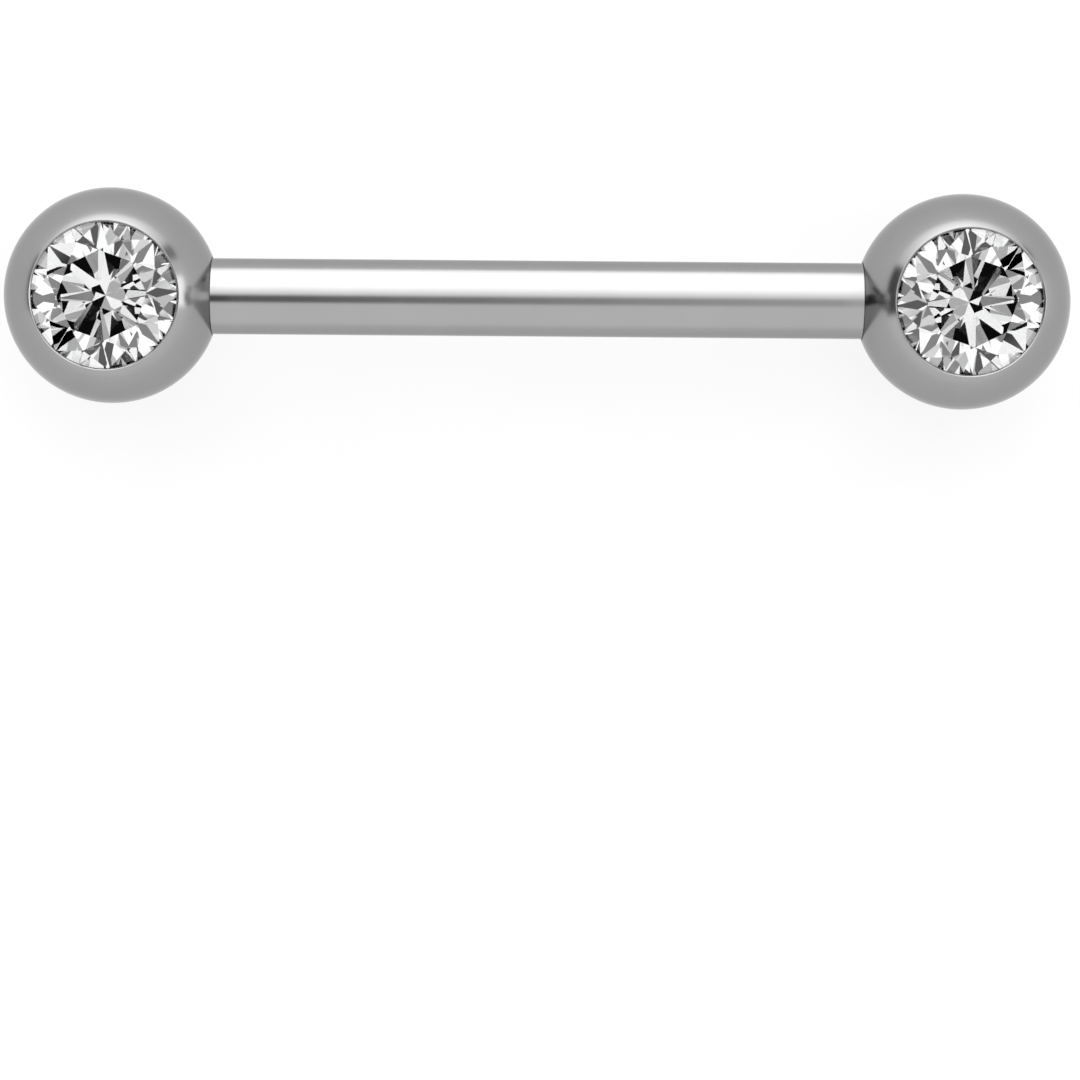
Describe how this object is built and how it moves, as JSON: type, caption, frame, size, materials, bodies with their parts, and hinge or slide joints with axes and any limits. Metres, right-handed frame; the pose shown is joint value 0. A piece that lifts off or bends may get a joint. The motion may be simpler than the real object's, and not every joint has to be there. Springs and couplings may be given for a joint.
{
  "type": "piercing barbell",
  "caption": "Straight polished steel piercing barbell with a screw-on ball at each end and a clear round brilliant stone set in each ball.",
  "frame": {"origin": "on the bar's axis, halfway between the two shoulders that the balls seat on", "axes": "+X along the bar towards the right ball, +Z the way both stones face, +Y up in the picture"},
  "size_m": [0.0228, 0.0046, 0.0044],
  "materials": {
    "steel": "polished",
    "stone": "gloss"
  },
  "bodies": {
    "bar": {"bar": "steel"},
    "left_end": {"ball_left": "steel", "stone_left": "stone"},
    "right_end": {"ball_right": "steel", "stone_right": "stone"}
  },
  "joints": [
    {"name": "ball_left_unscrew", "type": "slide", "parent": "bar", "child": "left_end", "axis": [-1, 0, 0], "range_m": [0, 0.015]},
    {"name": "ball_right_unscrew", "type": "slide", "parent": "bar", "child": "right_end", "axis": [1, 0, 0], "range_m": [0, 0.015]}
  ]
}
